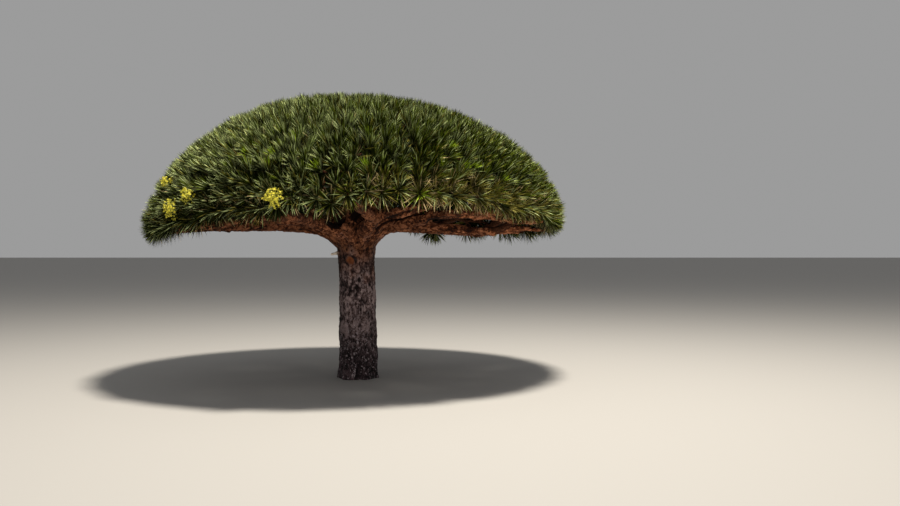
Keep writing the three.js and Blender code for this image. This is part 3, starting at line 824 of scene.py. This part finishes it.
def twig_mesh(name, twigs):
    """Tapered twigs, each bent at its knee, as one mesh."""
    corners = []
    faces = []
    for sides, steps, least, most in TWIG_KINDS:
        chosen = [t for t in twigs if least <= t.carried <= most]
        if not chosen:
            continue
        rings = twig_rings(chosen, sides, steps)
        index = sum(map(len, corners)) + np.arange(rings[..., 0].size).reshape(rings.shape[:-1])
        lower, upper = index[:, :-1], index[:, 1:]
        quads = np.stack([lower, np.roll(lower, -1, 2), np.roll(upper, -1, 2), upper], -1)
        faces += [quads.reshape(-1, 4)[:, ::-1], index[:, 0], index[:, -1, ::-1]]
        corners.append(rings.reshape(-1, 3))
    mesh = mesh_of(name, np.concatenate(corners), faces)
    mesh.shade_smooth()
    return mesh


# Leaves


def near_flank(azimuth, flank):
    """How near an azimuth is to the middle of a flank of the crown, from 0 to 1."""
    middle, width = flank
    away = (azimuth - middle + 180) % 360 - 180
    return exp(-((away / width) ** 2))


def tint_shares(rosette, drift):
    """By a rosette's place: its shares of light leaves, partly painted highlights, and of olive and dry
    leaves, and how much painted shade it takes, from 0 to 1.
    """
    azimuth = rosette.azimuth
    above = rosette.above
    # Painted sunlight high on the sunny flank, painted shade low on it and on the front-right flank
    sunny = near_flank(azimuth, SUN_FLANK)
    shaded = sunny * exp(-((above / SHADED_HEIGHT) ** 2))
    lit = sunny * smooth_step(*LIT_HEIGHTS, above)
    front_shade = near_flank(azimuth, FRONT_SHADE_FLANK) * exp(-(((above - FRONT_SHADE_HEIGHT) / FRONT_SHADE_HEIGHT) ** 2))
    light = np.dot(LIGHT_SHARE, (1, drift, shaded, lit, front_shade))
    low = 1 - smooth_step(*LOW_HEIGHTS, above)
    tanned = low * near_flank(azimuth, TANNED_FLANK)
    straw = low * near_flank(azimuth, STRAW_FLANK) + 0.5 * low * near_flank(azimuth, STRAW_PATCH)
    olive = np.dot(OLIVE_SHARE, (1, tanned))
    dry = np.dot(DRY_SHARE, (1, low, tanned, straw))
    return np.clip(light, *LIGHT_LIMITS), olive, dry, shaded


def fresh_rosettes(rosettes):
    """Which of some rosettes are nearest to the spots of fresh growth."""
    fresh = set()
    for azimuth, latitude in FRESH_SPOTS:
        spot = crown_point(azimuth, latitude, 1)
        away = [(r.place - spot).length for r in rosettes]
        if min(away) < LEAF_LENGTH:
            fresh.add(away.index(min(away)))
    return fresh


def leaf_tints(rosettes, seed):
    """The tint of each leaf: by its rosette, then lighter in its middle and drier at its foot, where more of
    the older leaves take the deep tint of painted shade.
    """
    rng = np.random.default_rng(seed)
    tints = np.full((len(rosettes), LEAVES), MID)
    age = (np.arange(LEAVES) + 0.5) / LEAVES
    fresh = fresh_rosettes(rosettes)
    most, by_darkness, by_age, by_shade = NOT_IN_DEEP_SHADE
    for i, (rosette, leaf) in enumerate(zip(rosettes, tints)):
        drift = DRIFT * noise.noise(rosette.place * DRIFTS_PER_M) + OWN_DRIFT * rng.standard_normal()
        light, olive, dry, shaded = tint_shares(rosette, drift)
        skirted = rosette.above > SKIRT_HEIGHT
        chance = rng.random(LEAVES)
        leaf[chance < light] = LIGHT_TONE_AND_HIGHLIGHT
        leaf[chance > most - by_darkness * (1 - light) - by_age * age - by_shade * shaded] = DEEP_PAINTED_SHADE
        # Above the lowest rosettes the skirt's leaves take the deep tint, a dark layer of painted shade
        if skirted:
            leaf[age > SKIRT_AGE] = DEEP_PAINTED_SHADE
        leaf[rng.random(LEAVES) < olive] = OLIVE
        old = (age > DRY_AGE) & (age < SKIRT_AGE if skirted else True)
        leaf[old & (rng.random(LEAVES) < dry)] = DRY
        if i in fresh:
            leaf[age < FRESH_AGE] = YOUNG
        elif rng.random() < SPROUT_SHARE:
            leaf[age < SPROUT_AGE] = YOUNG
    return tints


def leaf_angles(rng, age, above):
    """How far each leaf is turned about its rosette's axis, leans from it and bends, in radians."""
    turn = np.arange(LEAVES) * GOLDEN_TURN + rng.random((len(age), 1)) * FULL_TURN
    turn = turn + TURN_WANDER * rng.standard_normal(age.shape)
    oldest = mix(OLDEST_RIM_LEAN, OLDEST_LEAN, smooth_step(*RIM_HEIGHTS, above))
    lean = mix(YOUNGEST_LEAN, oldest, age**LEAN_POWER)
    lean = np.where(age > SKIRT_AGE, np.maximum(lean, SKIRT_LEAN), lean)
    lean = np.radians(lean + LEAN_WANDER * rng.standard_normal(age.shape))
    bend = np.radians(LEAST_BEND + BEND_BY_AGE * age * rng.random(age.shape))
    return turn, lean, bend


def leaf_sizes(rng, age, above):
    """Length and width of each leaf."""
    grown = mix(YOUNGEST_LENGTH, 1, np.minimum(1, GROWTH_PACE * age))
    length = LEAF_LENGTH * grown * (1 - OLD_LOSS * age)
    length *= 1 + LENGTH_WANDER * (rng.random(age.shape) - MOSTLY_LESS)
    length *= 1 + ROSETTE_LENGTH_WANDER * (rng.random((len(age), 1)) - MOSTLY_LESS)
    width = LEAF_WIDTH * (1 + WIDTH_WANDER * rng.standard_normal(age.shape))
    width *= np.where((age > SKIRT_AGE) & (above > SKIRT_HEIGHT), SKIRT_WIDTH, 1)
    return length, width


def leaf_corners(rosettes, seed):
    """Corners of every leaf of some rosettes: two at its foot, three at its middle and its tip."""
    rng = np.random.default_rng(seed)
    count = len(rosettes)
    place = np.array([r.place for r in rosettes])[:, None]
    above = np.array([r.above for r in rosettes])[:, None]
    axis = np.array([r.axis for r in rosettes]) + AXIS_WANDER * rng.standard_normal((count, 3))
    axis -= DROOP * (1 - smooth_step(0, DROOP_HEIGHT, above)) * np.array(UP)
    axis = unit(axis)[:, None]
    side = side_of(axis, axis)
    over = np.cross(axis, side)
    age = ((np.arange(LEAVES) + 0.5) / LEAVES)[None] * np.ones((count, LEAVES))
    measures = (age, *leaf_angles(rng, age, above), *leaf_sizes(rng, age, above))
    age, turn, lean, bend, length, width = (m[..., None] for m in measures)
    outwards = np.cos(turn) * side + np.sin(turn) * over
    across = np.cos(turn) * over - np.sin(turn) * side
    way = np.cos(lean) * axis + np.sin(lean) * outwards
    upper = np.sin(lean) * axis - np.cos(lean) * outwards
    onward = np.cos(lean + bend) * axis + np.sin(lean + bend) * outwards
    onward = unit(onward - np.array(UP) * LEAF_SAG * age)
    foot = place - axis * LEAFY_LENGTH * age + outwards * LEAF_FOOT_OUT
    middle = foot + way * length * LEAF_MIDDLE
    tip = middle + onward * length * (1 - LEAF_MIDDLE)
    half = across * width / 2
    heel = half * FOOT_WIDTH
    fold = upper * LEAF_WIDTH * LEAF_FOLD
    return np.stack([foot - heel, foot + heel, middle - half, middle - fold, middle + half, tip], axis=2)


def add_leaves(name, region, seed, finishes):
    """The leaves of a region, joined into one piece for each tint."""
    corners = leaf_corners(region.rosettes, seed)
    tints = leaf_tints(region.rosettes, seed + 1)
    rng = np.random.default_rng(seed + 2)
    for tint, word in enumerate(TINTS):
        chosen = corners[tints == tint]
        if not len(chosen):
            continue
        faces = LEAF_FACES + len(LEAF_PAINTED_SHADES) * np.arange(len(chosen))[:, None, None]
        mesh = mesh_of(f"{name}_leaves_{word}", chosen.reshape(-1, 3), [faces.reshape(-1, 3)])
        # Each leaf's corners keep their painted shade and highlight, times a random tone of the leaf
        own = 1 + LEAF_CONTRAST * (rng.random((len(chosen), 1)) - 0.5)
        keep_values(mesh, "shade", (own * LEAF_PAINTED_SHADES).ravel())
        add_piece(mesh, finishes[tint], region.nodes)


# Flower panicles


def panicle_arrays(azimuth, latitude, size, tall, rng):
    """A panicle's middle, the ends of its branches, and the places and axes of its flowers."""
    normal = np.array(crown_normal(azimuth, latitude))
    middle = np.array(crown_point(azimuth, latitude, 1)) - normal * PANICLE_DEPTH
    count = int(PANICLE_BRANCHES * tall * (size / WIDEST_PANICLE) ** 2)
    ways = unit(rng.standard_normal((count, 3)) + BRANCH_RISE * normal)
    reach = size * (BRANCH_REACH[0] + BRANCH_REACH[1] * rng.random((count, 1)))
    ends = middle + ways * reach * np.array([1, 1, tall])
    share = 1 - FLOWER_SPAN * rng.random((count, FLOWERS, 1)) ** 2
    spots = middle + (ends - middle)[:, None] * share
    spots = (spots + FLOWER_SCATTER * rng.standard_normal((count, FLOWERS, 3))).reshape(-1, 3)
    axis = unit(unit(spots - middle) + FLOWER_TILT * rng.standard_normal(spots.shape))
    return middle, ends, spots, axis


def add_panicles(petal_finish, stalk_finish, rim):
    """Yellow panicles: short branches set with small flowers of five petals."""
    rng = np.random.default_rng(SEED)
    petals = []
    branches = []
    for panicle in PANICLES:
        middle, ends, spots, axis = panicle_arrays(*panicle, rng)
        nearest = min((r.place for r in rim.rosettes), key=lambda p: (Vector(middle) - p).length)
        branches.append((nearest, middle))
        branches += [(middle, end) for end in ends]
        side = unit(np.cross(axis, unit(rng.standard_normal(axis.shape))))
        over = np.cross(axis, side)
        for k in range(5):
            a = k * 2 * pi / 5
            out = cos(a) * side + sin(a) * over
            across = cos(a) * over - sin(a) * side
            petal = [spots + o * out + c * across + up * axis for o, c, up in PETAL]
            petals.append(np.stack(petal, axis=1))
    corners = np.concatenate(petals)
    quads = np.arange(len(corners) * len(PETAL)).reshape(-1, len(PETAL))
    add_piece(mesh_of("panicle_flowers", corners.reshape(-1, 3), [quads]), petal_finish)
    add_piece(stalk_mesh("panicle_stalks", branches), stalk_finish)


def stalk_mesh(name, stalks):
    """Thin three-sided stalks that end in a point."""
    foot, end = (np.array([s[k] for s in stalks]) for k in range(2))
    ahead = unit(end - foot)
    side = side_of(ahead, ahead)
    over = np.cross(side, ahead)
    turns = [k * 2 * pi / 3 for k in range(3)]
    ring = [foot + STALK_RADIUS * (cos(a) * side + sin(a) * over) for a in turns]
    corners = np.stack([*ring, end], axis=1)
    index = 4 * np.arange(len(stalks))[:, None, None]
    faces = index + np.array([(1, 0, 3), (2, 1, 3), (0, 2, 3), (0, 1, 2)])
    return mesh_of(name, corners.reshape(-1, 3), [faces.reshape(-1, 3)])


# Finishes


class Finish:
    """A procedural material built up node by node."""

    def __init__(self, name, roughness, specular):
        self.material = bpy.data.materials.new(name)
        self.material.use_nodes = True
        self.nodes = self.material.node_tree.nodes
        self.links = self.material.node_tree.links
        self.shader = self.nodes["Principled BSDF"]
        self.shader.inputs["Roughness"].default_value = roughness
        self.shader.inputs["Specular IOR Level"].default_value = specular
        self.place = self.add("ShaderNodeTexCoord").outputs["Object"]

    def give(self, socket, value):
        """Links an input where it is given a socket, and sets it where it is given a value."""
        if isinstance(value, bpy.types.NodeSocket):
            self.links.new(value, socket)
        else:
            socket.default_value = value

    def add(self, kind, **inputs):
        node = self.nodes.new(kind)
        for name, value in inputs.items():
            self.give(node.inputs[name.replace("_", " ")], value)
        return node

    def attribute(self, name, output):
        node = self.nodes.new("ShaderNodeAttribute")
        node.attribute_name = name
        return node.outputs[output]

    def noise(self, place, scale, detail=4, roughness=0.6):
        node = self.add("ShaderNodeTexNoise", Vector=place, Scale=scale, Detail=detail, Roughness=roughness)
        return node.outputs["Fac"]

    def cells(self, place, scale, feature="F1", output="Distance"):
        node = self.add("ShaderNodeTexVoronoi", Vector=place, Scale=scale)
        node.feature = feature
        return node.outputs[output]

    def math(self, operation, *values, kind="ShaderNodeMath"):
        node = self.nodes.new(kind)
        node.operation = operation
        for socket, value in zip(node.inputs, values):
            self.give(socket, value)
        return node.outputs[0]

    def warped(self, place, scale, amount):
        """A place shifted to and fro by a noise."""
        drift = self.add("ShaderNodeTexNoise", Vector=place, Scale=scale, Detail=2).outputs["Color"]
        drift = self.math("SUBTRACT", drift, (0.5, 0.5, 0.5), kind="ShaderNodeVectorMath")
        amounts = (amount, amount, amount)
        return self.math("MULTIPLY_ADD", drift, amounts, place, kind="ShaderNodeVectorMath")

    def total(self, start, *parts):
        """A start value and the sum of some parts: each a value, its middle and its weight."""
        for value, middle, weight in parts:
            part = self.math("MULTIPLY", self.math("SUBTRACT", value, middle), weight)
            start = self.math("ADD", start, part)
        return start

    def span(self, value, limits):
        """Where a value lies between two limits, from 0 to 1."""
        node = self.add("ShaderNodeMapRange", Value=value, From_Min=limits[0], From_Max=limits[1])
        return node.outputs["Result"]

    def ramp(self, value, *stops):
        """Colours or shades along a value: each stop is a place from 0 to 1 and a colour or a shade."""
        node = self.add("ShaderNodeValToRGB", Fac=value)
        points = node.color_ramp.elements
        while len(points) < len(stops):
            points.new(0.5)
        for point, (at, colour) in zip(points, stops):
            point.position = at
            point.color = (*colour, 1) if isinstance(colour, tuple) else (colour, colour, colour, 1)
        return node.outputs["Color"]

    def blend(self, share, a, b, mode="MIX"):
        node = self.nodes.new("ShaderNodeMix")
        node.data_type = "RGBA"
        node.blend_type = mode
        for key, value in (("Factor", share), ("A", a), ("B", b)):
            socket = next(s for s in node.inputs if s.name == key and s.enabled)
            self.give(socket, (*value, 1) if isinstance(value, tuple) else value)
        return next(s for s in node.outputs if s.enabled)

    def times(self, colour, shade):
        return self.blend(1.0, colour, shade, "MULTIPLY")

    def paint(self, colour):
        self.links.new(colour, self.shader.inputs["Base Color"])

    def bump(self, height, distance, strength, under=None):
        node = self.add("ShaderNodeBump", Height=height, Distance=distance, Strength=strength)
        if under:
            self.links.new(under, node.inputs["Normal"])
        self.links.new(node.outputs["Normal"], self.shader.inputs["Normal"])
        return node.outputs["Normal"]


def bark_depth(f, grain, bent, fine, broad, crack):
    """How deep in its relief the bark lies at a place, which darkens its colour, partly as painted shade: 0
    on the tops of its flakes and 1 in its pits.
    """
    flake = f.add("ShaderNodeSeparateColor", Color=f.cells(bent, 24, output="Color")).outputs["Red"]
    holes = f.ramp(f.cells(bent, 19), (0.14, 1), (0.4, 0))
    clusters = f.ramp(f.noise(grain, 8, 3, 0.6), (0.42, 0), (0.56, 1))
    tall = f.add("ShaderNodeMapping", Vector=grain, Scale=(1, 1, 0.3)).outputs["Vector"]
    furrow = f.math("ABSOLUTE", f.math("SUBTRACT", f.noise(tall, 11, 3, 0.5), 0.5))
    furrow = f.ramp(furrow, (0.0, 1), (0.03, 0))
    return f.total(
        0.06,
        (fine, 0.5, 3.6),
        (flake, 0.5, 0.4),
        (broad, 0.5, 0.7),
        (crack, 0, 0.22),
        (furrow, 0, 0.25),
        (f.math("MULTIPLY", holes, clusters), 0, 0.85),
        (f.attribute("hollow", "Fac"), 0, 0.9),
    )


def bark_finish():
    """Grey-purple pitted bark low on the trunk, rust-brown flaky bark above it and on the boughs, with
    painted shade in its pits and hollows and painted shade and light by height and side.
    """
    f = Finish("bark", 0.9, 0.2)
    grain = f.attribute("grain", "Vector")
    apart = f.add("ShaderNodeSeparateXYZ", Vector=f.place)
    height = apart.outputs["Z"]
    fine = f.noise(grain, 19, 7, 0.78)
    broad = f.noise(grain, 5, 3, 0.55)
    bent = f.warped(grain, 14, 0.035)
    crack = f.ramp(f.cells(bent, 24, "DISTANCE_TO_EDGE"), (0.0, 1), (0.1, 0))
    depth = bark_depth(f, grain, bent, fine, broad, crack)
    rusty = f.span(f.total(height, (broad, 0.5, 1.3)), RUST_HEIGHTS)
    colour = f.blend(rusty, f.ramp(depth, *GREY_BARK), f.ramp(depth, *RUST_BARK))
    # Painted shade under the fork and painted light on the low boughs
    colour = f.times(colour, f.ramp(f.math("MULTIPLY", height, 0.25), *NECK_PAINTED_SHADE_AND_LIGHT))
    # Painted shade on the left side and painted light on the right
    colour = f.times(colour, f.ramp(f.total(0.5, (apart.outputs["X"], 0, 0.2)), *SIDE_PAINTED_SHADE_AND_LIGHT))
    spread = f.add("ShaderNodeMapping", Vector=grain, Location=(0.4, 0.25, 0)).outputs["Vector"]
    colour = f.times(colour, f.ramp(f.noise(spread, 4.5, 4, 0.6), *PATCH_SHADES))
    above_foot = f.span(height, FOOT_HEIGHTS)
    colour = f.times(colour, f.blend(above_foot, FOOT_SHADE, TRUNK_SHADE))
    dust = f.ramp(f.noise(grain, 26, 5, 0.75), (0.55, 0), (0.64, 1))
    dust = f.math("MULTIPLY", dust, f.math("SUBTRACT", 0.75, f.math("MULTIPLY", above_foot, 0.6)))
    colour = f.blend(f.math("MULTIPLY", dust, f.math("SUBTRACT", 1.0, rusty)), colour, DUST)
    colour = f.blend(f.attribute("scar", "Fac"), colour, f.ramp(fine, *WOUND))
    f.paint(f.blend(f.attribute("broken", "Fac"), colour, BROKEN_WOOD))
    coarse = f.bump(f.math("SUBTRACT", 1.0, crack), 0.008, 0.8)
    f.bump(f.math("SUBTRACT", 1.0, fine), 0.012, 0.8, coarse)
    return f.material


def twig_finish():
    """Rust-brown twigs ringed with leaf scars."""
    f = Finish("twig_bark", 0.88, 0.2)
    rough = f.noise(f.place, 26, 6, 0.75)
    scars = f.cells(f.warped(f.place, 14, 0.035), 30, "DISTANCE_TO_EDGE")
    scars = f.ramp(scars, (0.0, 0.3), (0.13, 1))
    f.paint(f.times(f.ramp(rough, *TWIG_BARK), scars))
    f.bump(rough, 0.008, 0.7, f.bump(scars, 0.006, 0.8))
    return f.material


def leaf_finish(word, dark, light, roughness, gloss):
    """A stiff leaf, a little glossy, whose colour drifts between two near shades, darkened at its foot with
    painted shade and lightened at its tip with a painted highlight.
    """
    f = Finish(f"leaf_{word}", roughness, gloss)
    colour = f.ramp(f.noise(f.place, 9, 4, 0.7), (0.36, dark), (0.64, light))
    f.paint(f.times(colour, f.attribute("shade", "Color")))
    return f.material


def flower_finish(name, scale, detail, roughness, colours):
    """Petals or stalks whose colour drifts between two shades."""
    f = Finish(name, 0.6, 0.3)
    f.paint(f.ramp(f.noise(f.place, scale, detail, roughness), *colours))
    return f.material


# The tree


def grown_limbs(rim, shoulder, top):
    """The trunk, boughs and limbs as one curve, with the growth that they carry."""
    curve = bpy.data.curves.new("limbs", "CURVE")
    curve.dimensions = "3D"
    curve.bevel_depth = 1.0
    curve.bevel_resolution = 6
    curve.use_fill_caps = True
    trunk_spline(curve)
    for index in range(len(LOW_BOUGHS)):
        grow_low_bough(curve, index, rim, shoulder)
    for index in range(len(HIGH_BOUGH_AZIMUTHS)):
        grow_high_bough(curve, index, top)
    for azimuth, rise, radii in WEBS:
        add_spline(curve, [bough_point(azimuth, *place) for place in rise], radii)
    add_spline(curve, STUB[:2], STUB[2])
    return curve


def build_tree():
    rim, shoulder, top = (Growth([], [], []) for _ in range(3))
    mesh = wood_mesh(grown_limbs(rim, shoulder, top))
    wood = [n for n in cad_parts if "mass" not in n]
    add_piece(mesh, bark_finish(), wood)
    leaves = [leaf_finish(word, *colours) for word, colours in zip(TINTS, LEAF_COLOURS)]
    twigs = twig_finish()
    for name, region, seed in (("rim", rim, 10), ("shoulder", shoulder, 20), ("top", top, 30)):
        add_piece(twig_mesh(f"{name}_twigs", region.twigs), twigs, region.nodes)
        add_leaves(name, region, SEED + seed, leaves)
    petals = flower_finish("petals", 34, 3, 0.7, PETAL_COLOURS)
    stalks = flower_finish("flower_stalks", 30, 2, 0.6, STALK_COLOURS)
    add_panicles(petals, stalks, rim)


# Floor, light and camera


def add_light(name, place, size, power, colour):
    light = bpy.data.lights.new(name, "AREA")
    light.shape = "DISK"
    light.size = size
    light.energy = power
    light.color = colour
    item = put(name, light)
    item.location = place
    item.rotation_euler = (LIGHT_GOAL - Vector(place)).to_track_quat("-Z", "Y").to_euler()


def add_floor():
    work = bmesh.new()
    bmesh.ops.create_grid(work, x_segments=1, y_segments=1, size=FLOOR_SIZE)
    mesh = bpy.data.meshes.new("floor")
    work.to_mesh(mesh)
    work.free()
    floor = put("floor", mesh)
    f = Finish("pale_floor", 0.9, 0.2)
    f.shader.inputs["Base Color"].default_value = FLOOR_COLOUR
    mesh.materials.append(f.material)


def add_camera():
    lens = bpy.data.cameras.new("camera")
    lens.lens = 35
    lens.sensor_width = 36
    camera = put("camera", lens)
    camera.location = CAMERA_PLACE
    camera.rotation_euler = (radians(90), 0, 0)
    bpy.context.scene.camera = camera


def build_studio():
    add_floor()
    scene = bpy.context.scene
    scene.view_settings.view_transform = "Standard"
    scene.world = bpy.data.worlds.new("studio")
    scene.world.use_nodes = True
    sky = scene.world.node_tree.nodes["Background"]
    sky.inputs["Color"].default_value = SKY_COLOUR
    sky.inputs["Strength"].default_value = 0.36
    add_light("key", (3.5, -4.5, 20), 3, 8500, (1.0, 0.93, 0.82))
    add_light("fill", (3, -17, 2.8), 4.2, 520, (1.0, 0.96, 0.9))
    add_camera()


build_tree()
build_studio()
